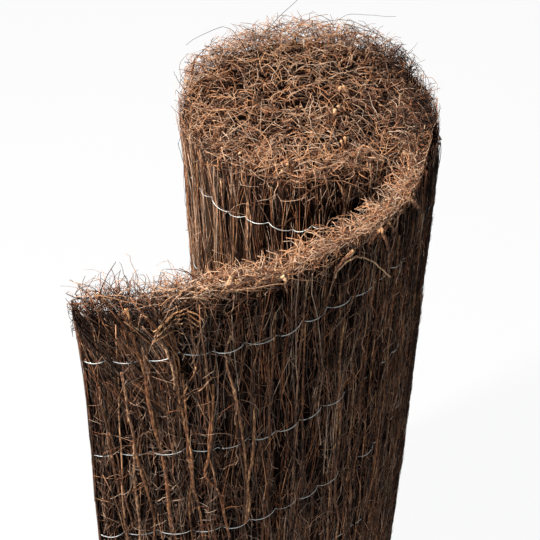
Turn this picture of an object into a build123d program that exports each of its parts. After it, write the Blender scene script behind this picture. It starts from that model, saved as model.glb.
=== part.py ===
import os
import math
import random
from build123d import *

os.makedirs("parts", exist_ok=True)

# Driving sizes of the mat, millimetres
mat_height = 985.0
wall_core = 10.0
ridge_shown = 4.4
ridge_hidden = 2.2
bundle_width = 24.0
bundle_spread = 4.0

# Driving sizes of the roll
roll_radius = 158.0
turn_pitch = 17.0
core_radius = 14.0
core_bundle_radius = 8.5
roll_oval = 0.02
shown_turn = 1000.0

# Driving sizes of the loose flap
flap_lead = 10.0
flap_radius = 343.8
flap_tail = 36.0
flap_wave = 2.0
flap_wave_length = 190.0

# Driving sizes of the tufted crown
tuft_depth = 8.0
tuft_edge = 1.2
tuft_width_shown = 8.6
tuft_width_hidden = 16.5
tuft_heights = [14.0, 20.0, 26.0, 33.0, 41.0]

# Driving sizes of the stout stems
stem_width = 7.6
stem_count = 14
stem_shown_length = 330.0
stem_top_heights = [12.0, 20.0, 28.0]

# Driving sizes of the binding wires
wire_rows = 7
wire_spacing = 1000.0 / 7.0
wire_first = 500.0 / 7.0
wire_size = 1.4
wire_gap = 0.5
wire_turn_length = 905.0
wire_inner_start = 110.0

random_source = random.Random(11)
flap_turn_length = flap_radius * math.pi / 2.0
flap_length = flap_lead + flap_turn_length + flap_tail
roll_length = math.pi * (roll_radius ** 2 - core_radius ** 2) / turn_pitch


# A place on the mat's centre line, by its distance past the roll's right side.
def station(distance):
    if distance <= 0.0:
        inner = math.sqrt(max(roll_radius ** 2 + turn_pitch * distance / math.pi, 0.0))
        angle = (roll_radius - inner) * 2.0 * math.pi / turn_pitch
        radius = inner * (1.0 - roll_oval * math.cos(2.0 * angle))
        out_x = math.cos(angle)
        out_y = math.sin(angle)
        return (radius * out_x, radius * out_y, out_x, out_y)
    start_x = roll_radius * (1.0 - roll_oval)
    if distance <= flap_lead:
        place = (start_x, -distance, 1.0, 0.0)
    elif distance <= flap_lead + flap_turn_length:
        turn = (distance - flap_lead) / flap_radius
        out_x = math.cos(turn)
        out_y = -math.sin(turn)
        centre_x = start_x - flap_radius
        place = (centre_x + flap_radius * out_x, -flap_lead + flap_radius * out_y, out_x, out_y)
    else:
        past = distance - flap_lead - flap_turn_length
        place = (start_x - flap_radius - past, -flap_lead - flap_radius, 0.0, -1.0)
    fade = min(distance / 120.0, 1.0)
    wave = fade * flap_wave * math.sin(2.0 * math.pi * distance / flap_wave_length)
    return (place[0] + wave * place[2], place[1] + wave * place[3], place[2], place[3])


# A point beside the centre line, positive towards the outer face.
def beside(distance, offset):
    x, y, out_x, out_y = station(distance)
    return (x + offset * out_x, y + offset * out_y)


# The bundles, from the free end in to the core, each as its two ends and whether it is a stem.
bundles = []
edge = flap_length
while edge > -roll_length:
    shown = flap_length - edge
    is_stem = shown < stem_shown_length and len(bundles) % 2 == 1 and len(bundles) < 2 * stem_count
    if is_stem:
        width = stem_width
    else:
        width = bundle_width + random_source.uniform(-bundle_spread, bundle_spread)
    bundles.append((edge - width, edge, is_stem))
    edge = edge - width
bundles.reverse()

valley = wall_core / 2.0
outer_hidden = [b for b in bundles if b[1] <= -shown_turn]
outer_shown = [b for b in bundles if b[1] > -shown_turn]


# Corner points of plain ridges, two flats to a bundle, for the hidden faces.
def plain_ridges(group, side):
    points = []
    for low, high, is_stem in group:
        points.append(beside(low, side * valley))
        points.append(beside((low + high) / 2.0, side * (valley + ridge_hidden)))
    points.append(beside(group[-1][1], side * valley))
    return points


# Corner points of the uneven ridges that show, three flats to a bundle and four to a round stem.
def shown_ridges(group):
    points = []
    for low, high, is_stem in group:
        if is_stem:
            shape = [(0.0, 0.0), (0.12, 0.7), (0.5, 1.0), (0.88, 0.7)]
        else:
            first = random_source.uniform(0.22, 0.38)
            second = random_source.uniform(0.62, 0.78)
            first_rise = random_source.uniform(0.62, 1.0)
            second_rise = random_source.uniform(0.62, 1.0)
            shape = [(0.0, 0.0), (first, first_rise), (second, second_rise)]
        for along, rise in shape:
            points.append(beside(low + along * (high - low), valley + rise * ridge_shown))
    points.append(beside(group[-1][1], valley))
    return points


# The tufts, each as its place, its size in plan and its height, two to a bundle that shows.
tufts = []
for low, high, is_stem in bundles:
    middle = (low + high) / 2.0
    x, y, out_x, out_y = station(middle)
    from_axis = math.hypot(x, y)
    if is_stem:
        continue
    if high > -shown_turn:
        size = tuft_width_shown
        places = [middle - 0.24 * (high - low), middle + 0.24 * (high - low)]
    elif from_axis > 60.0:
        size = tuft_width_hidden
        places = [middle]
    else:
        size = tuft_width_shown
        places = [middle]
    for place in places:
        tufts.append((place, size, random_source.choice(tuft_heights)))


# The mat: one spiral wall with a ridge for each bundle, and the tufts that stand on it.
with BuildPart() as heather_mat:
    with BuildSketch(Plane.XY):
        with BuildLine():
            Polyline(*plain_ridges(outer_hidden, 1.0))
            Polyline(*shown_ridges(outer_shown))
            Line(beside(flap_length, valley), beside(flap_length, -valley))
            Polyline(*plain_ridges(bundles, -1.0))
            Line(beside(bundles[0][0], valley), beside(bundles[0][0], -valley))
        make_face()
    extrude(amount=mat_height)
    with BuildSketch(Plane.XY):
        Circle(core_bundle_radius)
    extrude(amount=mat_height)
    for height in tuft_heights:
        lean = math.degrees(math.atan((tuft_depth - tuft_edge) / 2.0 / height))
        with BuildSketch(Plane.XY.offset(mat_height)):
            for width in (tuft_width_shown, tuft_width_hidden):
                places = []
                for place, size, rise in tufts:
                    if size == width and rise == height:
                        x, y, out_x, out_y = station(place)
                        turn = math.degrees(math.atan2(out_y, out_x))
                        places.append(Location((x, y, 0.0), (0.0, 0.0, turn)))
                with Locations(*places):
                    Rectangle(tuft_depth, width)
        extrude(amount=height, taper=lean)
    for group, height in enumerate(stem_top_heights):
        places = []
        stems = [b for b in bundles if b[2]]
        for number, bundle in enumerate(stems):
            if number % len(stem_top_heights) == group:
                places.append(beside((bundle[0] + bundle[1]) / 2.0, valley + ridge_shown - 0.6 * stem_width))
        with BuildSketch(Plane.XY.offset(mat_height)):
            with Locations(*places):
                RegularPolygon(0.4 * stem_width, 6)
        extrude(amount=height)
heather_mat.part.label = "heather_mat"
export_step(heather_mat.part, "parts/heather_mat.step")


# The path of one binding wire in plan, along the outer face, round the free end and back inside.
# It bends at every second bundle's edge, raised there so that its straights clear the crests.
bends = [b[1] for b in bundles if b[1] > -wire_turn_length][::2]
bends = [place for place in bends if place < flap_length - 1.5 * bundle_width]
crest_gap = ridge_shown + wire_gap
outer_path = []
for number, place in enumerate(bends):
    reach = max(bends[min(number + 1, len(bends) - 1)] - place, place - bends[max(number - 1, 0)])
    bend = 0.92 * roll_radius if place < 60.0 else 0.55 * flap_radius
    outer_path.append((place, valley + crest_gap + 0.9 * reach ** 2 / (8.0 * bend)))
inner_path = [(place, -valley - crest_gap) for place in bends if place > wire_inner_start]
end_place = flap_length + wire_gap
outer_path.append((end_place, valley + crest_gap))
inner_path.append((end_place, -valley - crest_gap))


# The closed outline of the wire, a ribbon one wire wide beside the path.
near_side = [beside(place, offset) for place, offset in outer_path]
far_side = [beside(place, offset + wire_size) for place, offset in outer_path[:-1]]
far_side.append(beside(end_place + wire_size, outer_path[-1][1] + wire_size))
near_side += [beside(place, offset) for place, offset in reversed(inner_path)]
far_side.append(beside(end_place + wire_size, inner_path[-1][1] - wire_size))
far_side += [beside(place, offset - wire_size) for place, offset in reversed(inner_path[:-1])]
wire_outline = near_side + list(reversed(far_side))

for row in range(wire_rows):
    level = wire_first + row * wire_spacing
    with BuildPart() as binding_wire:
        with BuildSketch(Plane.XY.offset(level - wire_size / 2.0)):
            with BuildLine():
                Polyline(*wire_outline, close=True)
            make_face()
        extrude(amount=wire_size)
    binding_wire.part.label = f"binding_wire_{row + 1}"
    export_step(binding_wire.part, f"parts/binding_wire_{row + 1}.step")
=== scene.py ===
import math
import random

import bpy
import numpy as np
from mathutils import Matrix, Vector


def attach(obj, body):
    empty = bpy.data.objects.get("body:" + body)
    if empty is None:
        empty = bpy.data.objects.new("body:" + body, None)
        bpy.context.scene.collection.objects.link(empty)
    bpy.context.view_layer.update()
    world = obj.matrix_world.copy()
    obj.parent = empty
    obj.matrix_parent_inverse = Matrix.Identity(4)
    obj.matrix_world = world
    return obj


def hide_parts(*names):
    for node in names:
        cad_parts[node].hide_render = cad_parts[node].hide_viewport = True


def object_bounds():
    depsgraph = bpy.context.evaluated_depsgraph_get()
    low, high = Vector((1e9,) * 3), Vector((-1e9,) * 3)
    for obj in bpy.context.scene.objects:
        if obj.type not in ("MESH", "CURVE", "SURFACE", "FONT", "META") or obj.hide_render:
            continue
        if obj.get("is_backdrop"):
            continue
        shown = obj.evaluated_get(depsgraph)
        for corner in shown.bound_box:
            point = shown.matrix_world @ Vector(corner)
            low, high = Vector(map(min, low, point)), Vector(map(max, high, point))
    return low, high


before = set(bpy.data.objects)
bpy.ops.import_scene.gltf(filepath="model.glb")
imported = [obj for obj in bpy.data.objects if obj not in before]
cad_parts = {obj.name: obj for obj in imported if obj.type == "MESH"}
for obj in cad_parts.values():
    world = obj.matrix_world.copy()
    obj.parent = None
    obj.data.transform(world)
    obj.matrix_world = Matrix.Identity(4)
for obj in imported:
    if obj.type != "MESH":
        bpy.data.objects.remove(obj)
cad_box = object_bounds()

# Sizes of the mat and its roll, in metres, the same as the solids'
mat_height = 0.985
wall_core = 0.010
ridge_shown = 0.0044
ridge_hidden = 0.0022
bundle_width = 0.024
bundle_spread = 0.004
roll_radius = 0.158
turn_pitch = 0.017
core_radius = 0.014
roll_oval = 0.02
flap_lead = 0.010
flap_radius = 0.3438
flap_tail = 0.036
flap_wave = 0.002
flap_wave_length = 0.190
stem_width = 0.0076
stem_count = 14
stem_shown_length = 0.330

# How far the mat departs from an upright wall: at the roll's right side, at its very top, and at the free end
right_lean = 0.0095
top_lean = 0.004
end_splay = 0.020

# Binding wires
wire_rows = 7
wire_spacing = 1.0 / 7.0
wire_first = 0.5 / 7.0
wire_radius = 0.00048
wire_turn_length = 0.905
wire_inner_start = 0.11

flap_turn_length = flap_radius * math.pi / 2.0
flap_length = flap_lead + flap_turn_length + flap_tail
roll_length = math.pi * (roll_radius ** 2 - core_radius ** 2) / turn_pitch
valley = wall_core / 2.0
wire_levels = wire_first + wire_spacing * np.arange(wire_rows)
outer_face, inner_face = 1.0, -1.0
upwards = np.array([0.0, 0.0, 1.0])
face_corners = ((0, 0), (0, 1), (1, 1), (1, 0))
full_turn = 6.28
chance = np.random.default_rng(5)


def share(value, start, length):
    """How far a value is past a start, as a share of a length, held between nothing and one."""
    return np.clip((value - start) / length, 0.0, 1.0)


def bell(value, middle, width):
    """A bell curve: the exponential of minus the square of the distance from the middle over the width."""
    return np.exp(-((value - middle) / width) ** 2)


def unit(vectors):
    """Vectors divided by their lengths."""
    return vectors / np.maximum(np.linalg.norm(vectors, axis=-1, keepdims=True), 1e-9)


def lay_out_bundles():
    """The bundles' edges from the core to the free end, and which of them are single stout stems."""
    widths = random.Random(11)
    edges, stems = [flap_length], []
    while edges[-1] > -roll_length:
        near_end = flap_length - edges[-1] < stem_shown_length
        stem = near_end and len(stems) % 2 == 1 and len(stems) < 2 * stem_count
        step = stem_width if stem else bundle_width + widths.uniform(-bundle_spread, bundle_spread)
        stems.append(stem)
        edges.append(edges[-1] - step)
    return np.array(edges[::-1]), np.array(stems[::-1])


bundle_edges, bundle_is_stem = lay_out_bundles()


def station(distance):
    """Places on the mat's centre line and their outward directions in plan.

    Below zero the line is a slightly oval spiral whose radius falls by one pitch a turn. Past zero it runs
    straight for the lead, then through a quarter circle, then straight again, with a gentle wave across it.
    """
    distance = np.asarray(distance, float)
    inner = np.sqrt(np.maximum(roll_radius ** 2 + turn_pitch * np.minimum(distance, 0.0) / np.pi, 0.0))
    angle = (roll_radius - inner) * 2.0 * np.pi / turn_pitch
    radius = inner * (1.0 - roll_oval * np.cos(2.0 * angle))
    lead = np.clip(distance, 0.0, flap_lead)
    turn = np.clip((distance - flap_lead) / flap_radius, 0.0, np.pi / 2.0)
    past = np.maximum(distance - flap_lead - flap_turn_length, 0.0)
    start = roll_radius * (1.0 - roll_oval)
    wound = distance <= 0.0
    out_x = np.where(wound, np.cos(angle), np.cos(turn))
    out_y = np.where(wound, np.sin(angle), -np.sin(turn))
    wave = share(distance, 0.0, 0.120) * flap_wave * np.sin(2.0 * np.pi * distance / flap_wave_length)
    x = np.where(wound, radius * out_x, start + flap_radius * (np.cos(turn) - 1.0) - past + wave * out_x)
    y = np.where(wound, radius * out_y, -lead - flap_radius * np.sin(turn) + wave * out_y)
    return x, y, out_x, out_y


def splay(distance, level):
    """How far the free end spreads towards the foot.

    It is the square of the share along the mat's last part, times a smooth step that grows towards the foot.
    """
    near_end = share(distance, 0.42, 0.17)
    fall = share(level, 0.95, -0.35)
    return end_splay * near_end ** 2 * fall * fall * (3.0 - 2.0 * fall)


def on_mat(distance, offset, level):
    """Points at a distance along the mat, an offset outwards from its centre line and a level off the floor.

    The roll's right side leans in: a bell curve along the mat, times the rise from below half the height up
    and the square of the rise near the very top. The free end splays towards the foot.
    """
    level = np.asarray(level)
    x, y, out_x, out_y = station(distance + splay(distance, level))
    rise = np.clip(level - 0.42, 0.0, 0.6) / 0.58
    top_rise = share(level, 0.92, 0.08)
    right_side = bell(distance, 0.04, 0.22)
    offset = offset - (right_lean * rise + top_lean * top_rise ** 2) * right_side
    return np.stack(np.broadcast_arrays(x + offset * out_x, y + offset * out_y, level), axis=-1)


def in_bundle(distance):
    """Each distance's bundle, as that bundle's middle and its half width."""
    index = np.clip(np.searchsorted(bundle_edges, distance) - 1, 0, len(bundle_edges) - 2)
    low, high = bundle_edges[index], bundle_edges[index + 1]
    return (low + high) / 2.0, (high - low) / 2.0


def swell(distance):
    """How far a bundle swells, from nothing at its edges to one at its middle, as a cosine."""
    middle, half = in_bundle(distance)
    return np.cos(np.clip((distance - middle) / half, -1.0, 1.0) * np.pi / 2.0)


def near_wires(level, reach):
    """One at a wire row's level, falling to nothing a few reaches away, as a bell curve."""
    nearest = np.clip(np.round((level - wire_first) / wire_spacing), 0, wire_rows - 1)
    return bell(level - wire_first, nearest * wire_spacing, reach)


def put_mesh(name, points, quads, caps, maps, tones, ashes, material):
    """A piece from whole arrays.

    They are its points, its four-sided faces, its end faces, a map place for each corner of a face, and a
    tone and an ash for each point.
    """
    mesh = bpy.data.meshes.new(name)
    mesh.vertices.add(len(points))
    mesh.vertices.foreach_set("co", points.astype(np.float32).ravel())
    corners = np.concatenate([quads.ravel(), caps.ravel()])
    mesh.loops.add(len(corners))
    mesh.loops.foreach_set("vertex_index", corners.astype(np.int32))
    starts = np.concatenate([4 * np.arange(len(quads)), quads.size + caps.shape[1] * np.arange(len(caps))])
    mesh.polygons.add(len(starts))
    mesh.polygons.foreach_set("loop_start", starts.astype(np.int32))
    mesh.update(calc_edges=True)
    mesh.polygons.foreach_set("use_smooth", np.ones(len(starts), bool))
    layer = mesh.uv_layers.new(name="OFBake")
    layer.uv.foreach_set("vector", maps.astype(np.float32).ravel())
    mesh.attributes.new("tone", "FLOAT", "POINT").data.foreach_set("value", tones.astype(np.float32))
    mesh.attributes.new("ash", "FLOAT", "POINT").data.foreach_set("value", ashes.astype(np.float32))
    mesh.materials.append(material)
    piece = bpy.data.objects.new(name, mesh)
    bpy.context.scene.collection.objects.link(piece)
    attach(piece, "root")
    return piece


def twigs(name, paths, radii, tones, material, sides=3, ashes=None):
    """A bunch of closed round twigs in one piece.

    Each twig is a ring of a few sides carried along its path: a ring's point is the path's point plus the
    radius times the cosine and sine of its angle, along two directions square to the path. Its ends are
    closed flat. On the map each twig has its own square cell, with its wall laid out flat and its ends above
    and below.
    """
    count, rings = paths.shape[:2]
    along = unit(np.gradient(paths, axis=1))
    lean = unit(np.cross(along.mean(axis=1), unit(chance.normal(size=(count, 3)))))[:, None, :]
    across = unit(np.cross(along, lean))
    beside = np.cross(along, across)
    angles = 2.0 * np.pi * np.arange(sides) / sides
    ring = (across[:, :, None, :] * np.cos(angles)[:, None]
            + beside[:, :, None, :] * np.sin(angles)[:, None])
    points = (paths[:, :, None, :] + radii[:, :, None, None] * ring).reshape(-1, 3)

    twig, step, side = np.meshgrid(np.arange(count), np.arange(rings - 1), np.arange(sides), indexing="ij")
    corner = lambda s, k: (twig * rings + step + s) * sides + (side + k) % sides
    quads = np.stack([corner(s, k) for s, k in face_corners], axis=-1).reshape(-1, 4)
    first = np.arange(count)[:, None] * rings * sides
    foot = first + np.arange(sides)[::-1]
    tip = first + (rings - 1) * sides + np.arange(sides)
    caps = np.concatenate([foot, tip])

    columns = int(math.ceil(math.sqrt(count)))
    left, low = np.arange(count) % columns, np.arange(count) // columns
    margin, used, end_size = 0.08, 0.84, 0.03
    turn = lambda k: (left[twig] + margin + used * (side + k) / sides) / columns
    rise = lambda s: (low[twig] + margin + used * (step + s) / (rings - 1)) / columns
    wall = np.stack([np.stack([turn(k), rise(s)], axis=-1) for s, k in face_corners], axis=-2)
    small = end_size * np.stack([np.cos(angles), np.sin(angles)], axis=-1) / columns
    centre = lambda edge: np.stack([(left + 0.5) / columns, (low + edge) / columns], axis=-1)[:, None, :]
    foot_maps = centre(margin / 2.0) + small[::-1]
    tip_maps = centre(1.0 - margin / 2.0) + small
    maps = np.concatenate([wall.reshape(-1, 2), foot_maps.reshape(-1, 2), tip_maps.reshape(-1, 2)])

    tones = np.asarray(tones, float).reshape(count, -1) * np.ones((1, rings))
    shade = np.repeat(tones, sides, axis=1).reshape(-1)
    ashes = chance.uniform(0.0, 1.0, count) ** 1.4 if ashes is None else ashes
    ashes = np.repeat(ashes, rings * sides)
    return put_mesh(name, points, quads, caps, maps, shade, ashes, material)


class Signal:
    """One output of a shader node, on which + - * add the tree's Math nodes."""

    def __init__(self, look, node, output):
        self.look, self.node, self.output = look, node, output

    def maths(self, operation, left, right):
        return self.look.node("ShaderNodeMath", {"operation": operation}, {0: left, 1: right})

    def __add__(self, other):
        return self.maths("ADD", self, other)

    def __mul__(self, other):
        return self.maths("MULTIPLY", self, other)

    def __sub__(self, other):
        return self.maths("SUBTRACT", self, other)

    def __rsub__(self, other):
        return self.maths("SUBTRACT", other, self)

    __radd__ = __add__
    __rmul__ = __mul__


class Look:
    """The node tree of a material or of the world, and the one way in which its nodes are made."""

    def __init__(self, owner):
        owner.use_nodes = True
        self.owner = owner
        self.tree = owner.node_tree
        self.tree.nodes.clear()

    def node(self, kind, settings=None, values=None, output=0):
        """A new node: its settings are set first, then its sockets' values or links. It gives one output."""
        made = self.tree.nodes.new(kind)
        for key, value in (settings or {}).items():
            if key == "stops":
                ramp = made.color_ramp
                while len(ramp.elements) < len(value):
                    ramp.elements.new(0.5)
                for element, (place, colour) in zip(ramp.elements, value):
                    element.position, element.color = place, (*colour, 1.0)
            else:
                setattr(made, key, value)
        for key, value in (values or {}).items():
            if isinstance(value, Signal):
                self.tree.links.new(value.node.outputs[value.output], made.inputs[key])
            else:
                made.inputs[key].default_value = value
        return Signal(self, made, output)


def stretched_noise(look, scale, size, detail=3.0):
    """A noise on the object's own coordinates, stretched by a different scale along each axis."""
    place = look.node("ShaderNodeTexCoord", output="Object")
    spot = look.node("ShaderNodeMapping", None, {"Vector": place, "Scale": scale})
    return look.node("ShaderNodeTexNoise", None, {"Vector": spot, "Scale": size, "Detail": detail}, "Fac")


def bark(name, stops, grain=(700.0, 700.0, 150.0), streaks=0.9, shine=0.06):
    """Dry heather bark.

    Each twig's own tone, varied along it by fibres and patches, goes on a ramp from black brown to pale tan.
    The colour is greyer with the twig's ash.
    """
    look = Look(bpy.data.materials.new(name))
    tone = look.node("ShaderNodeAttribute", {"attribute_name": "tone"}, output="Fac")
    ash = look.node("ShaderNodeAttribute", {"attribute_name": "ash"}, output="Fac")
    fibres = stretched_noise(look, grain, 1.0)
    patches = stretched_noise(look, (1.0, 1.0, 0.6), 38.0)
    value = tone + (fibres - 0.5) * streaks + (patches - 0.5) * 0.42
    ramp = look.node("ShaderNodeValToRGB", {"stops": stops}, {"Fac": value}, "Color")
    colour = look.node("ShaderNodeHueSaturation", None, {
        "Hue": 0.491 + ash * 0.016, "Saturation": 1.14 - ash * 0.46, "Color": ramp})
    normal = look.node("ShaderNodeBump", None, {
        "Strength": 0.35, "Distance": 0.0005, "Height": fibres}, "Normal")
    surface = look.node("ShaderNodeBsdfPrincipled", None, {
        "Base Color": colour, "Roughness": fibres * 0.2 + 0.7, "Normal": normal, "Specular IOR Level": shine})
    look.node("ShaderNodeOutputMaterial", None, {"Surface": surface})
    return look.owner


def drawn_wire():
    """Galvanised wire: dull pale metal with a fine mottled bloom."""
    look = Look(bpy.data.materials.new("galvanised_wire"))
    bloom = stretched_noise(look, (1.0, 1.0, 1.0), 260.0)
    stops = ((0.3, (0.50, 0.50, 0.48)), (0.7, (0.78, 0.78, 0.75)))
    colour = look.node("ShaderNodeValToRGB", {"stops": stops}, {"Fac": bloom}, "Color")
    surface = look.node("ShaderNodeBsdfPrincipled", None, {
        "Base Color": colour, "Metallic": 0.4, "Roughness": bloom * 0.25 + 0.28})
    look.node("ShaderNodeOutputMaterial", None, {"Surface": surface})
    return look.owner


twig_stops = ((0.0, (0.009, 0.006, 0.005)), (0.3, (0.047, 0.026, 0.018)), (0.55, (0.152, 0.074, 0.043)),
              (0.78, (0.350, 0.164, 0.085)), (1.0, (0.68, 0.40, 0.225)))
stem_stops = ((0.0, (0.014, 0.008, 0.006)), (0.35, (0.060, 0.029, 0.017)), (0.6, (0.165, 0.078, 0.040)),
              (0.85, (0.38, 0.20, 0.10)), (1.0, (0.72, 0.45, 0.23)))
# Painted shade: the packed body's ramp is darker than its own brown, so the gaps among the twigs read dark.
core_stops_with_shade = ((0.35, (0.002, 0.0012, 0.001)), (0.55, (0.012, 0.006, 0.004)), (0.80, (0.085, 0.042, 0.022)))
twig_bark = bark("heather_bark", twig_stops)
stem_bark = bark("stem_bark", stem_stops, grain=(520.0, 520.0, 160.0), streaks=1.9, shine=0.2)
core_bark_and_shade = bark("packed_heather_painted_shade", core_stops_with_shade, grain=(850.0, 850.0, 16.0), streaks=0.9, shine=0.0)
wire_metal = drawn_wire()


def crown_rise(x, y):
    """How far the crown stands above its usual level: a slope that climbs to the back, less at the left."""
    to_the_left = share(-x, 0.0, 0.15)
    return 0.021 * share(y, -0.03, 0.15) ** 1.4 * (1.0 - 0.5 * to_the_left ** 2)


def packed_wall():
    """The mat's body, near black with painted shade: one closed wall along the whole spiral and flap.

    Its section is a rectangle whose outer side swells over each bundle as a cosine, and whose inner side
    swells the other way. The section is carried along the centre line, with its top a little uneven, higher
    on the flap and lower at the free end, and each end is closed by a ladder of four-sided faces.
    """
    fine_steps, plain_steps, plain_below = 5, 3, -1.15
    spans = [np.linspace(low, high, fine_steps if high > plain_below else plain_steps)
             for low, high in zip(bundle_edges[:-1], bundle_edges[1:])]
    fine = np.concatenate([span[:-1] for span in spans] + [[flap_length]])
    sunk, outer_part, inner_part = 0.0006, 0.75, 0.8
    outer = valley - sunk + ridge_shown * outer_part * swell(fine)
    inner = -valley + sunk - ridge_hidden * inner_part * swell(fine)
    plain_top, uneven, flap_step, end_step = 0.984, 0.0015, 0.009, 0.019
    top = plain_top + 0.8 * crown_rise(*station(fine)[:2]) + chance.normal(0.0, uneven, len(fine))
    top += flap_step * share(fine, 0.0, 0.06) - end_step * share(fine, 0.465, 0.04)
    levels = (0.0, 0.42, 0.60, 0.68, 0.76, 0.84, 0.94, top)
    section = [(outer, level) for level in levels] + [(inner, level) for level in levels[::-1]]
    ring = np.stack([on_mat(fine, offset, level) for offset, level in section], axis=1)
    count, sides = ring.shape[:2]

    step, side = np.meshgrid(np.arange(count - 1), np.arange(sides), indexing="ij")
    corner = lambda s, k: (step + s) * sides + (side + k) % sides
    quads = np.stack([corner(s, k) for s, k in face_corners], axis=-1).reshape(-1, 4)
    rung = np.arange(len(levels) - 1)
    end = np.stack([rung, rung + 1, sides - 2 - rung, sides - 1 - rung], axis=-1)
    ends = np.concatenate([end[:, ::-1], end + (count - 1) * sides])

    wide = lambda s: (step + s) / (count - 1)
    tall = lambda k: (side + k) / sides
    wall_maps = np.stack([np.stack([wide(s), tall(k)], axis=-1) for s, k in face_corners], axis=-2)
    small_square = 0.001 * np.array([[0.0, 0.0], [1.0, 0.0], [1.0, 1.0], [0.0, 1.0]])
    maps = np.concatenate([wall_maps.reshape(-1, 2), np.tile(small_square, (len(ends), 1))])

    # Painted light and shade: inner turns darker, the outer turn lighter, most at the left side that faces
    # the light.
    outer_turn = (fine < 0.0) * (fine > -1.1)
    painted_light_left = bell(fine, -0.54, 0.11)
    tones = np.repeat(0.45 + (0.05 + 0.15 * painted_light_left) * outer_turn, sides)
    return put_mesh("packed_mat", ring.reshape(-1, 3), quads, ends, maps, tones, tones, core_bark_and_shade)


def on_face(place, depth, level, face=outer_face, press=0.3):
    """Points on a face of the mat: the bundle's swell, pressed in near the wires, plus a depth."""
    ridge = 0.85 * ridge_shown if face > 0.0 else ridge_hidden
    offset = valley + ridge * swell(place) * (1.0 - press * near_wires(level, 0.03)) + depth
    return on_mat(place, face * offset, level)


def face_twigs(name, count, low, high, face, reaches, lean, thick, tone, wiggle, rings, slant=0.0,
               levels=(0.0, 1.0)):
    """Upright twigs on one face of the mat.

    A twig climbs straight or at a slant, with two sine sways along the mat and one across it. Near each wire
    row it is drawn towards its bundle's middle, and near the top it flares outwards with the square of the
    height.
    """
    column = lambda values: values[:, None]
    start = chance.uniform(low, high, count)
    middle = in_bundle(start)[0]
    reach = chance.uniform(*reaches, count)
    centre = chance.uniform(*levels, count)
    foot = np.clip(centre - reach / 2.0, chance.uniform(0.001, 0.012, count), 0.94)
    top = np.minimum(centre + reach / 2.0, mat_height + chance.uniform(-0.02, 0.032, count))
    climb = np.linspace(0.0, 1.0, rings)[None, :]
    level = column(foot) + column(top - foot) * climb
    phase = lambda: column(chance.uniform(0, full_turn, count))
    wave = lambda size, length: column(size) * np.sin(2.0 * np.pi * level / column(length) + phase())
    slide = wave(chance.uniform(0.2, 1.0, count) * wiggle, reach * chance.uniform(0.5, 1.6, count))
    slide += wave(chance.uniform(0.2, 1.0, count) * wiggle * 0.4, reach * chance.uniform(0.25, 0.45, count))
    slide += column(chance.normal(slant, lean, count)) * (level - column(foot + top) / 2.0)
    gathered = 1.0 - 0.36 * near_wires(level, 0.032)
    place = column(middle) + (column(start) + slide - column(middle)) * gathered
    bow = wave(chance.uniform(0.0001, 0.0010, count), reach * chance.uniform(0.5, 1.2, count))
    depth = column(chance.uniform(-0.0018, 0.0018, count)) + bow
    flare = share(level, 0.90, 0.10) ** 2 * column(chance.uniform(0.0, 0.007, count))
    flare *= column(1.0 - 0.8 * bell(start, 0.03, 0.13))
    paths = on_face(np.clip(place, low - 0.004, flap_length - 0.0005), depth + flare, level, face)
    width = chance.choice(thick, count) * chance.uniform(0.8, 1.2, count)
    radii = column(width) * (1.0 - 0.45 * climb)
    # Painted shade: twigs near 0.09 m along the flap, where the mat turns away from the light, are darker.
    painted_shade = 0.40 * bell(start, 0.09, 0.045)
    tones = np.clip(chance.normal(tone, 0.26, count) + 60.0 * (width - 0.0006) - painted_shade, 0.02, 0.97)
    return twigs(name, paths, radii, tones, twig_bark)


def end_twigs(count, rings=8):
    """Upright twigs that close the mat's free end, with a sine sway across it."""
    foot = chance.uniform(0.002, 0.8, count)[:, None]
    top = np.minimum(foot + chance.uniform(0.1, 0.5, count)[:, None], 0.99)
    level = foot + (top - foot) * np.linspace(0.0, 1.0, rings)[None, :]
    offset = chance.uniform(-valley - 0.001, valley + 0.003, count)[:, None]
    offset = offset + 0.001 * np.sin(level / 0.03 + offset * 3000.0)
    depth = chance.uniform(-0.0004, 0.0012, count)[:, None] + 0.0005 * np.sin(level / 0.05 + offset * 2000.0)
    paths = on_mat(flap_length + depth, offset, level)
    radii = chance.uniform(0.0004, 0.0009, count)[:, None] * np.linspace(1.0, 0.6, rings)[None, :]
    tones = np.clip(chance.normal(0.5, 0.18, count), 0.05, 0.95)
    return twigs("free_end_twigs", paths, radii, tones, twig_bark)


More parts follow.
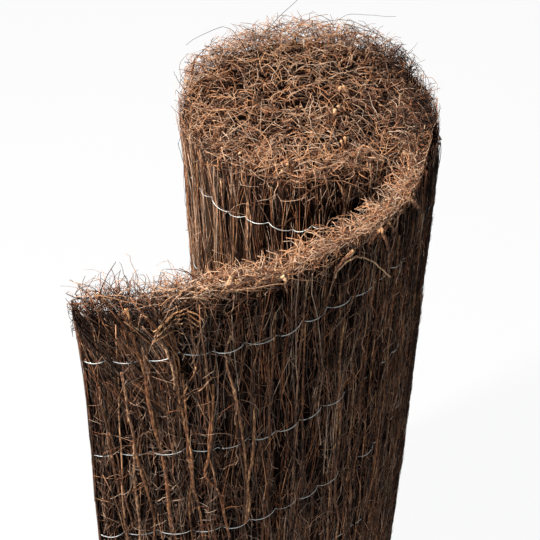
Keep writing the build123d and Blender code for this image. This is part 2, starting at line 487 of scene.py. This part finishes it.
def side_shoots(name, count, low, high, face, bottom=0.02, rings=5, crowd=0.0):
    """Fine curly shoots on a face: each leaves at an angle, and the angle grows with its length.

    A share of them, shorter and greyer, crowds by a normal curve among the stout stems.
    """
    crowd_middle, crowd_spread = 0.515, 0.030
    crowded = chance.uniform(0.0, 1.0, count) < crowd
    among_stems = np.clip(chance.normal(crowd_middle, crowd_spread, count), low, high)
    start = np.where(crowded, among_stems, chance.uniform(low, high, count))
    foot = chance.uniform(bottom, mat_height, count)
    length = chance.uniform(0.012, 0.060, count) * (1.0 - 0.5 * crowded)
    heading = chance.choice([-1.0, 1.0], count) * np.abs(chance.normal(0.35, 0.42, count))
    bend = chance.normal(0.0, 1.0, count)
    climb = np.linspace(0.0, 1.0, rings)[None, :]
    angle = heading[:, None] + bend[:, None] * climb
    run = np.cumsum(np.sin(angle), axis=1) / rings * length[:, None]
    rise = np.cumsum(np.cos(angle), axis=1) / rings * length[:, None]
    place = np.clip(start[:, None] + run, low - 0.005, flap_length + 0.001)
    level = np.clip(foot[:, None] + rise, 0.004, 1.01)
    height = chance.uniform(0.0002, 0.0042, count)[:, None]
    lift = height * np.sin(np.pi * climb * chance.uniform(0.5, 1.0, count)[:, None])
    lift *= 1.0 - 0.6 * bell(start, 0.0, 0.14)[:, None]
    paths = on_face(place, 0.0010 + lift, level, face)
    radii = chance.uniform(0.00024, 0.00048, count)[:, None] * (1.0 - 0.5 * climb)
    tones = np.clip(chance.normal(0.60, 0.2, count) + 0.08 * crowded, 0.1, 1.0)
    ashes = np.clip(chance.uniform(0.0, 1.0, count) ** 1.4 + 0.5 * crowded, 0.0, 1.1)
    return twigs(name, paths, radii, tones, twig_bark, ashes=ashes)


def squeezed(value, limit, room):
    """A value that goes on past a limit ever more slowly, by a hyperbolic tangent, up to the room at most."""
    return limit + room * np.tanh(np.maximum(value - limit, 0.0) / room)


def crown_twigs(name, count, low, high, lengths=(0.014, 0.045), overhang=0.005, above=0.022, thin=0.00031,
                rings=5, base=(0.965, 1.003), lowest=0.985, upright=0.45, tone=0.98):
    """Loose tips tangled on top of the mat: each is an arc of a circle that starts near the top.

    An arc's point is its radius times the sine of the turned angle along its first direction, plus its radius
    times one less the cosine along the way it bends. Its parts are steps along the mat, outwards and up. What
    passes the mat's face, one metre of height or the twig's lowest level is squeezed. The overhang differs by
    bell curves: more at the roll's front and back, less at its left, and at its right side the tips stand up
    and lean in. Painted shade darkens the points deep among the tips, and the tips at the roll's right
    and left.
    """
    start = chance.uniform(low, high, count)
    front, back = bell(start, -0.72, 0.11)[:, None], bell(start, -0.24, 0.13)[:, None]
    left, right = bell(start, -0.50, 0.08)[:, None], bell(start, -0.03, 0.19)[:, None]
    scatter = chance.normal(size=(count, 3)) * np.array([1.0, 1.0, 0.5])
    heading = unit(scatter + upwards * (upright + 1.4 * right))
    aside = chance.normal(size=(count, 3)) - 0.8 * upwards
    bend = unit(aside - heading * np.sum(aside * heading, axis=-1, keepdims=True))
    climb = np.linspace(0.0, 1.0, rings)[None, :]
    turned = chance.uniform(0.3, 2.6, count)[:, None] * climb
    radius = (chance.uniform(*lengths, count) / turned[:, -1])[:, None, None]
    ahead, over = np.sin(turned)[..., None], (1.0 - np.cos(turned))[..., None]
    arc = radius * (ahead * heading[:, None, :] + over * bend[:, None, :])
    arc += chance.normal(0.0, 0.0009, arc.shape)

    rim = valley + 0.6 * ridge_shown
    offset = chance.uniform(-0.0085, 0.0075, count)[:, None] + arc[..., 1]
    room = overhang * (1.0 - 0.8 * right - 0.7 * left) + 0.011 * front + 0.007 * back
    on_outside = (offset > rim) & (start > -0.98)[:, None]
    offset = np.where(on_outside, squeezed(offset, rim, room), offset)
    on_inside = (offset < -rim) & (start > 0.0)[:, None]
    offset = np.where(on_inside, -squeezed(-offset, rim, 0.020), offset)

    x, y = station(start)[:2]
    rise = crown_rise(x, y)[:, None]
    level = chance.uniform(*base, count)[:, None] + arc[..., 2]
    level = level + rise * chance.uniform(0.4, 1.0, count)[:, None]
    level = np.where(level > 1.0, squeezed(level, 1.0, np.minimum(above + rise, 0.060)), level)
    lowest = lowest - 0.016 * chance.uniform(0.0, 1.0, count)[:, None] ** 3
    level = np.where(level < lowest, -squeezed(-level, -lowest, 0.02), level)
    offset -= 0.011 * right * share(level, 0.965, 0.03)
    paths = on_mat(np.minimum(start[:, None] + arc[..., 0], flap_length + 0.004), offset, level)

    radii = chance.uniform(thin, thin + 0.00032, count)[:, None] * (1.0 - 0.5 * climb)
    # Painted shade: the tips at the roll's right side are darker, more so towards its right, and so are those
    # at its left.
    painted_shade = 0.32 * right[:, 0] + 0.43 * share(x, 0.0, 0.15) ** 1.5 * share(start, 0.22, -0.12)
    painted_shade += 0.13 * share(-x, 0.0, 0.15) ** 2 * share(-start, 0.0, 0.05)
    # Painted shade: points that lie lower among the tips than the crown's top are darker.
    painted_depth_shade = 0.42 * share(level, 1.004 + 0.7 * rise, -0.020)
    tones = np.clip((chance.normal(tone, 0.31, count) - painted_shade)[:, None] - painted_depth_shade, 0.03, 1.08)
    return twigs(name, paths, radii, tones, twig_bark)


def through(places, rings):
    """A smooth curve through places: cubics whose slopes are half the step between a place's neighbours."""
    places = np.asarray(places, float)
    slopes = np.gradient(places, axis=0)
    spot = np.linspace(0.0, len(places) - 1.0, rings)
    low = np.minimum(spot.astype(int), len(places) - 2)
    part = (spot - low)[:, None]
    ahead = part * part * (3.0 - 2.0 * part)
    return (places[low] * (1.0 - ahead) + places[low + 1] * ahead
            + slopes[low] * part * (1.0 - part) ** 2 - slopes[low + 1] * part ** 2 * (1.0 - part))


# Stout stems at the flap's left part: radius, depth, tone, tone of the upper end, then places along the mat
# with their levels
laid_stems = [
    (0.0022, 0.0014, 0.62, 1.1, [
        (0.538, 0.994), (0.536, 0.960), (0.532, 0.929), (0.529, 0.901),
        (0.528, 0.855), (0.525, 0.807), (0.520, 0.757), (0.522, 0.640)]),
    (0.0020, 0.0002, 0.62, 1.1, [
        (0.532, 0.986), (0.530, 0.955), (0.527, 0.923), (0.526, 0.898), (0.522, 0.800)]),
    (0.0018, 0.0026, 0.74, 1.1, [
        (0.513, 0.955), (0.507, 0.940), (0.503, 0.921), (0.502, 0.904), (0.503, 0.885)]),
    (0.0016, 0.0016, 0.66, 0.7, [
        (0.501, 0.934), (0.500, 0.903), (0.499, 0.864), (0.496, 0.820),
        (0.492, 0.779), (0.493, 0.718), (0.489, 0.682), (0.487, 0.560)]),
    (0.0010, 0.0020, 0.72, 0.8, [
        (0.481, 0.913), (0.485, 0.898), (0.492, 0.883), (0.499, 0.862), (0.499, 0.850)]),
    (0.0007, 0.0022, 0.74, 0.8, [
        (0.471, 0.889), (0.478, 0.881), (0.493, 0.868), (0.498, 0.858)]),
    (0.0017, 0.0004, 0.60, 0.7, [
        (0.563, 0.939), (0.567, 0.887), (0.571, 0.842), (0.575, 0.811),
        (0.575, 0.775), (0.574, 0.688), (0.570, 0.600)]),
    (0.0018, 0.0016, 0.70, 0.7, [
        (0.551, 0.911), (0.550, 0.856), (0.549, 0.809), (0.555, 0.736), (0.555, 0.694), (0.561, 0.600)]),
    (0.0018, 0.0008, 0.62, 0.7, [
        (0.550, 0.810), (0.547, 0.768), (0.544, 0.738), (0.541, 0.693), (0.540, 0.664), (0.547, 0.600)]),
    (0.0014, 0.0012, 0.66, 0.7, [
        (0.494, 0.903), (0.494, 0.851), (0.495, 0.804), (0.496, 0.776),
        (0.494, 0.742), (0.500, 0.678), (0.498, 0.580)]),
    (0.0016, 0.0022, 0.62, 0.7, [
        (0.465, 0.883), (0.469, 0.831), (0.474, 0.779), (0.480, 0.746),
        (0.469, 0.717), (0.464, 0.690), (0.458, 0.620)]),
    (0.0017, 0.0016, 0.76, 0.8, [
        (0.424, 0.850), (0.427, 0.786), (0.430, 0.750), (0.434, 0.713), (0.433, 0.669), (0.439, 0.642)]),
    (0.0015, 0.0014, 0.70, 0.7, [
        (0.453, 0.916), (0.447, 0.879), (0.442, 0.840), (0.438, 0.791),
        (0.436, 0.739), (0.435, 0.693), (0.438, 0.640)]),
    (0.0011, 0.0016, 0.55, 0.6, [
        (0.574, 0.894), (0.575, 0.858), (0.571, 0.811), (0.569, 0.778), (0.568, 0.730), (0.565, 0.650)]),
    (0.0008, 0.0030, 0.86, 0.9, [
        (0.515, 0.962), (0.506, 0.974), (0.496, 0.983), (0.484, 0.982), (0.474, 0.973)]),
    (0.0007, 0.0034, 0.82, 0.9, [
        (0.517, 0.957), (0.507, 0.968), (0.497, 0.977), (0.486, 0.977), (0.476, 0.968)]),
    (0.0007, 0.0036, 0.84, 0.9, [
        (0.519, 0.952), (0.510, 0.963), (0.500, 0.972), (0.489, 0.973), (0.480, 0.966)]),
    (0.0006, 0.0042, 0.90, 0.9, [
        (0.516, 0.965), (0.505, 0.979), (0.493, 0.988), (0.481, 0.986), (0.470, 0.975)]),
    (0.0006, 0.0038, 0.82, 0.9, [
        (0.520, 0.947), (0.514, 0.955), (0.505, 0.961), (0.494, 0.962), (0.486, 0.957)]),
    (0.0009, 0.0040, 1.00, 1.0, [
        (0.336, 0.975), (0.320, 0.989), (0.301, 0.982), (0.280, 0.962), (0.255, 0.929)]),
    (0.0012, 0.0016, 0.74, 1.1, [
        (0.447, 0.948), (0.452, 0.929), (0.451, 0.901), (0.444, 0.863), (0.446, 0.820)]),
]


def stout_stems():
    """The laid stems of the flap, and plainer ones on the rest of the flap and on the roll's front.

    They are five-sided and knotty, and the plainer ones sway slowly, as a sine. The laid places are moved
    back by the free end's splay, so that the stems keep them.
    """
    rings = 18
    sizes = np.array([stem[:4] for stem in laid_stems])
    laid = np.stack([through(stem[4], rings) for stem in laid_stems])
    laid[..., 0] -= splay(laid[..., 0] - splay(laid[..., 0], laid[..., 1]), laid[..., 1])
    climb = np.linspace(0.0, 1.0, rings)[None, :]
    count = 16
    on_flap, on_roll = chance.uniform(0.18, 0.42, count // 2), chance.uniform(-0.95, -0.5, count // 2)
    start = np.concatenate([on_flap, on_roll])[:, None]
    top, foot = chance.uniform(0.90, 0.99, count)[:, None], chance.uniform(0.004, 0.4, count)[:, None]
    level = top + (foot - top) * climb
    size = chance.uniform(0.001, 0.004, count)[:, None]
    sway = size * np.sin(level / chance.uniform(0.03, 0.08, count)[:, None] + start * 40.0)
    lean = chance.normal(0.0, 0.03, count)[:, None] * (level - 0.6)
    places = np.concatenate([laid[..., 0], start + sway + lean])
    levels = np.concatenate([laid[..., 1], level])
    depth = np.concatenate([sizes[:, 1], chance.uniform(-0.0012, 0.0006, count)])[:, None]
    radius = np.concatenate([sizes[:, 0], chance.uniform(0.0009, 0.0015, count)])[:, None]
    knots = 1.0 + 0.09 * chance.normal(size=levels.shape).clip(-1.5, 1.5)
    tones = np.concatenate([sizes[:, 2], np.clip(chance.normal(0.55, 0.1, count), 0.3, 0.8)])
    tones = tones[:, None] * np.ones((1, rings))
    tones[:, 0] = np.concatenate([sizes[:, 3], np.full(count, 0.9)])
    paths = on_face(np.minimum(places, flap_length - 0.001), depth, levels, press=0.1)
    paths += chance.normal(0.0, 0.0004, paths.shape)
    ashes = chance.uniform(0.0, 0.4, len(levels))
    return twigs("stout_stems", paths, radius * knots, tones, stem_bark, sides=5, ashes=ashes)


# Long tips that stray from the crown: radius, tone, then points in metres
laid_strays = [
    (0.00045, 0.38, [
        (-0.0765, 0.100, 1.016), (-0.0874, 0.095, 1.039), (-0.1018, 0.090, 1.055),
        (-0.1275, 0.080, 1.052), (-0.1510, 0.070, 1.041)]),
    (0.00050, 0.35, [
        (-0.1455, 0.000, 1.009), (-0.1496, 0.000, 1.019), (-0.1561, 0.000, 1.030), (-0.1601, 0.000, 1.041)]),
    (0.00055, 0.22, [
        (-0.0628, 0.140, 1.019), (-0.0497, 0.150, 1.024), (-0.0353, 0.160, 1.037), (-0.0105, 0.168, 1.057)]),
    (0.00035, 0.45, [
        (0.0337, 0.140, 1.031), (0.0456, 0.150, 1.040), (0.0596, 0.150, 1.045),
        (0.0805, 0.150, 1.044), (0.1172, 0.150, 1.041)]),
    (0.00045, 0.42, [
        (-0.0079, 0.140, 1.025), (0.0152, 0.140, 1.037), (0.0501, 0.140, 1.042),
        (0.0795, 0.130, 1.035), (0.1055, 0.120, 1.021), (0.1278, 0.110, 1.006)]),
    (0.00045, 0.45, [
        (0.0504, 0.140, 1.036), (0.0890, 0.130, 1.028), (0.1150, 0.120, 1.016),
        (0.1360, 0.100, 1.002), (0.1483, 0.070, 0.996)]),
    (0.00050, 0.40, [
        (-0.1524, 0.050, 1.014), (-0.1373, 0.060, 1.030), (-0.1238, 0.070, 1.039), (-0.1103, 0.080, 1.048)]),
    (0.00115, 0.60, [
        (-0.1386, 0.040, 1.006), (-0.1428, 0.040, 1.018), (-0.1411, 0.040, 1.028), (-0.1381, 0.040, 1.038)]),
    (0.00040, 0.40, [
        (-0.1088, 0.100, 1.008), (-0.0960, 0.110, 1.020), (-0.0906, 0.110, 1.028),
        (-0.0780, 0.120, 1.029), (-0.0638, 0.120, 1.033)]),
    (0.00055, 0.40, [
        (0.1369, -0.040, 1.010), (0.1467, -0.050, 0.995), (0.1536, -0.060, 0.974),
        (0.1516, -0.070, 0.949), (0.1470, -0.080, 0.936)]),
    (0.00050, 0.25, [
        (-0.1419, -0.050, 0.927), (-0.1475, -0.050, 0.936),
        (-0.1524, -0.050, 0.953), (-0.1558, -0.050, 0.974)]),
    (0.00050, 0.40, [
        (-0.2009, -0.360, 1.005), (-0.1939, -0.360, 1.024),
        (-0.1878, -0.355, 1.033), (-0.1827, -0.350, 1.039)]),
    (0.00035, 0.35, [
        (-0.1697, -0.360, 1.005), (-0.1739, -0.360, 1.030), (-0.1770, -0.360, 1.047)]),
    (0.00060, 0.50, [
        (-0.1026, -0.340, 1.000), (-0.1177, -0.340, 1.016),
        (-0.1229, -0.340, 1.020), (-0.1290, -0.340, 1.023)]),
    (0.00040, 0.50, [
        (-0.0575, 0.130, 1.019), (-0.0406, 0.140, 1.032), (-0.0209, 0.150, 1.034),
        (-0.0002, 0.140, 1.033), (0.0128, 0.130, 1.021)]),
    (0.00045, 0.50, [
        (0.1128, 0.100, 1.016), (0.1286, 0.090, 1.013), (0.1402, 0.070, 1.012),
        (0.1479, 0.040, 1.009), (0.1481, 0.010, 1.003)]),
]


def stray_tips(rings=12):
    """The long tips above: smooth curves through their points, slightly kinked and thinner to their ends."""
    paths = np.stack([through(stray[2], rings) for stray in laid_strays])
    paths += chance.normal(0.0, 0.0003, paths.shape)
    radii = np.array([[stray[0]] for stray in laid_strays]) * np.linspace(1.1, 0.6, rings)
    return twigs("stray_tips", paths, radii, np.array([stray[1] for stray in laid_strays]), twig_bark)


# Pale cut ends that catch the light: places in plan and levels, on the roll's top and then on the flap's
pale_ends = [
    (-0.016, 0.146, 1.012), (0.043, 0.026, 1.0), (0.030, -0.032, 1.002), (-0.011, -0.018, 0.998),
    (0.035, -0.100, 1.0), (0.019, -0.130, 0.998), (-0.029, -0.142, 0.998), (0.114, 0.013, 0.998),
    (0.104, -0.118, 0.996), (0.134, -0.040, 0.990), (-0.143, 0.043, 1.0),
    (0.061, -0.262, 1.0), (0.028, -0.292, 1.0), (-0.083, -0.342, 1.0), (-0.076, -0.340, 1.004),
    (-0.036, -0.332, 0.998), (-0.058, -0.338, 1.0), (0.098, -0.205, 0.998),
]


def cut_ends():
    """Pale cut stem ends among the tips: short thick stubs, a little aslant, some at the places above."""
    roll_count, flap_count, sides = 34, 22, 5
    few = np.repeat(np.array(pale_ends), 2, axis=0)
    few += chance.normal(0.0, 1.0, few.shape) * np.array([0.003, 0.003, 0.002]) + 0.008 * upwards
    on_roll = chance.uniform(-roll_length + 0.1, 0.0, roll_count)
    on_flap = chance.uniform(0.0, flap_length - 0.01, flap_count)
    start = np.concatenate([on_roll, on_flap])
    rest = on_mat(start, chance.uniform(-0.006, 0.006, len(start)), chance.uniform(0.985, 1.003, len(start)))
    tops = np.concatenate([few, rest])
    count = len(tops)
    heading = unit(chance.normal(size=(count, 3)) * np.array([0.7, 0.7, 0.0]) + upwards)
    below_top = np.array([1.0, 0.5, 0.2, 0.03, 0.0])[None, :, None]
    length = chance.uniform(0.014, 0.030, count)[:, None, None]
    paths = tops[:, None, :] - length * heading[:, None, :] * below_top
    paths += chance.normal(0.0, 0.0005, paths.shape)
    stout_girth = chance.uniform(0.0014, 0.0026, len(few))
    girth = np.concatenate([stout_girth, chance.uniform(0.0010, 0.0018, len(rest))])[:, None]
    radii = girth * np.array([[0.7, 0.9, 1.0, 1.0, 0.85]]) * chance.uniform(0.8, 1.15, paths.shape[:2])
    tones = np.array([[0.4, 0.5, 0.8, 1.1, 1.2]]) * chance.uniform(0.6, 1.1, (count, 1))
    ashes = chance.uniform(0.1, 0.5, count)
    return twigs("cut_ends", paths, radii, tones, stem_bark, sides=sides, ashes=ashes)


def stitched_wire(row):
    """One row of binding wire: over each bundle it bows out as a half sine, and between bundles it dives in.

    A stout stem shares the stitch of the bundle beside it. The wire follows the outer face from under the
    outer turn to the free end, goes round the end, and comes back on the inner face. Each stitch has its own
    random height, depth and sag, so some sink among the twigs, deeper near the roll's right and left sides.
    They sag less on the roll than on the flap.
    """
    level = wire_levels[row]
    edges = np.append(bundle_edges[:-1][~bundle_is_stem], flap_length)
    edges = edges[edges > -wire_turn_length]
    uneven = chance.normal(0.0, 0.0018, len(edges))
    steps, most_sag = 6, 0.0022
    part = np.linspace(0.0, 1.0, steps + 1)[:-1]
    low, high = edges[:-1], edges[1:]
    stitches = len(low)
    place = (low[:, None] + (high - low)[:, None] * part).ravel()
    bow = np.tile(np.sin(np.pi * part) ** 0.6, stitches)
    deep = (np.abs(low - 0.12) < 0.17) | (np.abs(low + 0.53) < 0.06)
    sunk = chance.uniform(0.0, 0.0022, stitches) + chance.uniform(0.0, 0.0045, stitches) * deep
    sunk = np.repeat(sunk, steps)
    height = (uneven[:-1, None] * (1 - part) + uneven[1:, None] * part).ravel() + level
    slack = np.where(low < 0.0, 0.5, 1.0) * chance.uniform(0.35, 1.25, stitches)
    sag = -most_sag * (slack[:, None] * np.sin(np.pi * part)).ravel()
    clear = valley + 0.0006
    outer = on_mat(place, clear + (ridge_shown * 0.85 + 0.0016 - sunk) * bow, height + sag)
    back = place > wire_inner_start
    inner = on_mat(place[back], -(clear + (ridge_hidden + 0.0014) * bow[back]), height[back])[::-1]
    past_end, across_end = np.array([0.0012, 0.0016, 0.0012]), np.array([0.006, 0.0, -0.006])
    turn = on_mat(flap_length + past_end, across_end, np.full(3, level))
    path = np.concatenate([outer, turn, inner])[None]
    radii = np.full(path.shape[:2], wire_radius)
    name = f"stitched_wire_{row + 1}"
    piece = twigs(name, path, radii, np.full(1, 0.5), wire_metal, sides=4)
    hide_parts(f"binding_wire_{row + 1}")
    return piece


wall = packed_wall()
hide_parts("heather_mat")
for row in range(wire_rows):
    stitched_wire(row)

# The twigs of the flap's outer face, of the roll and of the flap's inner face, then shoots, tips and cut ends
stout, slim, fine = (0.0005, 0.0007, 0.0010), (0.00040, 0.00050, 0.00070), (0.00030, 0.00040, 0.00056)
free_end = flap_length - 0.002
face_twigs("flap_long_twigs", 520, 0.0, free_end, outer_face, reaches=(0.12, 0.42), lean=0.06, thick=stout,
           tone=0.46, wiggle=0.0045, rings=11)
face_twigs("flap_fine_twigs", 7200, 0.0, free_end, outer_face, reaches=(0.04, 0.15), lean=0.19, thick=fine,
           tone=0.53, wiggle=0.0036, rings=5)
face_twigs("flap_slanting_twigs", 260, 0.50, free_end, outer_face, reaches=(0.05, 0.13), lean=0.2,
           thick=stout, tone=0.52, wiggle=0.003, rings=6, slant=0.45, levels=(0.88, 1.0))
face_twigs("roll_long_twigs", 420, -0.99, 0.02, outer_face, reaches=(0.15, 0.5), lean=0.03, thick=slim,
           tone=0.74, wiggle=0.0035, rings=11)
face_twigs("roll_fine_twigs", 6600, -0.99, 0.02, outer_face, reaches=(0.06, 0.22), lean=0.13, thick=fine,
           tone=0.76, wiggle=0.0032, rings=5)
face_twigs("inner_long_twigs", 170, 0.03, free_end, inner_face, reaches=(0.15, 0.5), lean=0.03, thick=slim,
           tone=0.50, wiggle=0.0035, rings=11)
face_twigs("inner_fine_twigs", 1500, 0.03, free_end, inner_face, reaches=(0.05, 0.20), lean=0.15, thick=fine,
           tone=0.54, wiggle=0.0032, rings=5)
end_twigs(130)
stout_stems()
side_shoots("flap_shoots", 3900, 0.0, free_end, outer_face, crowd=0.25)
side_shoots("roll_shoots", 1500, -0.97, 0.02, outer_face)
side_shoots("inner_shoots", 400, 0.05, free_end, inner_face, bottom=0.1)
crown_twigs("crown_tips_core", 3300, -roll_length + 0.03, -1.5)
crown_twigs("crown_tips_rim", 4200, -1.8, 0.02)
crown_twigs("crown_tips_flap", 2150, 0.0, 0.50, overhang=0.0035, above=0.018, base=(0.985, 1.012), lowest=1.0)
crown_twigs("crown_tips_back", 900, -0.44, -0.05, lengths=(0.02, 0.055), overhang=0.010, above=0.026,
            base=(0.985, 1.02))
crown_twigs("crown_tips_end", 850, 0.45, flap_length - 0.003, lengths=(0.018, 0.055), overhang=0.002,
            above=0.012, base=(0.955, 0.995), lowest=0.97, upright=1.6, tone=0.66)
crown_twigs("crown_strays", 150, -0.95, flap_length - 0.003, lengths=(0.045, 0.10), overhang=0.010,
            above=0.034, thin=0.00022, rings=9)
stray_tips()
cut_ends()


# Pale floor, soft studio light and the photograph's camera
def pale_floor():
    """The floor: matt and pale. The camera sees it mostly plain white, with a little of the shadow."""
    look = Look(bpy.data.materials.new("pale_floor"))
    seen = look.node("ShaderNodeLightPath", output="Is Camera Ray")
    matt = look.node("ShaderNodeBsdfDiffuse", None, {"Color": (0.84, 0.84, 0.84, 1.0)})
    glow = look.node("ShaderNodeEmission", None, {"Color": (1.0, 1.0, 1.0, 1.0), "Strength": 1.0})
    surface = look.node("ShaderNodeMixShader", None, {0: seen * 0.94, 1: matt, 2: glow})
    look.node("ShaderNodeOutputMaterial", None, {"Surface": surface})
    return look.owner


def white_studio():
    """The world: a dim even light, and plain white where the camera or a metal's reflection meets it."""
    look = Look(bpy.data.worlds.new("white_studio"))
    by_camera = look.node("ShaderNodeLightPath", output="Is Camera Ray")
    by_metal = look.node("ShaderNodeLightPath", output="Is Glossy Ray")
    dim = look.node("ShaderNodeBackground", None, {"Color": (0.64, 0.83, 1.0, 1.0), "Strength": 0.11})
    white = look.node("ShaderNodeBackground", None, {"Color": (1.0, 1.0, 1.0, 1.0), "Strength": 1.0})
    surface = look.node("ShaderNodeMixShader", None, {0: by_camera + by_metal, 1: dim, 2: white})
    look.node("ShaderNodeOutputWorld", None, {"Surface": surface})
    return look.owner


bpy.context.scene.world = white_studio()
floor_mesh = bpy.data.meshes.new("floor")
floor_mesh.from_pydata([(-6, -6, 0), (6, -6, 0), (6, 6, 0), (-6, 6, 0)], [], [(0, 1, 2, 3)])
floor_mesh.materials.append(pale_floor())
floor = bpy.data.objects.new("floor", floor_mesh)
bpy.context.scene.collection.objects.link(floor)
floor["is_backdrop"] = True


def soft_lamp(name, place, aim, size, watts, colour=(1.0, 1.0, 1.0)):
    """A round lamp at a place, turned so that it shines at the aim."""
    lamp = bpy.data.lights.new(name, "AREA")
    lamp.shape, lamp.size, lamp.energy, lamp.color = "DISK", size, watts, colour
    lit = bpy.data.objects.new(name, lamp)
    lit.location = place
    way = np.array(aim, float) - np.array(place, float)
    lit.rotation_euler = (math.acos(-way[2] / np.linalg.norm(way)), 0.0, math.atan2(-way[0], way[1]))
    bpy.context.scene.collection.objects.link(lit)


soft_lamp("key_lamp", (-1.45, -0.68, 2.9), (0.0, -0.1, 0.8), 0.22, 132.0, (1.0, 0.97, 0.93))
soft_lamp("fill_lamp", (-0.8, -2.6, 1.6), (0.0, -0.1, 0.6), 1.2, 17.0, (0.76, 0.90, 1.0))
soft_lamp("back_lamp", (-1.0, 2.0, 2.2), (0.0, 0.0, 0.8), 1.0, 9.0)

camera_data = bpy.data.cameras.new("photo_camera")
camera_data.lens = 60.0
camera_data.sensor_width = 36.0
camera = bpy.data.objects.new("photo_camera", camera_data)
camera.location = (-0.0471, -0.9614, 1.5429)
camera.rotation_euler = (math.radians(50.0), 0.0, 0.0)
bpy.context.scene.collection.objects.link(camera)
bpy.context.scene.camera = camera
bpy.context.scene.view_settings.view_transform = "Standard"

({"cad": [list(map(float, corner)) for corner in cad_box],
           "visual": [list(map(float, corner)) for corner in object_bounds()]})
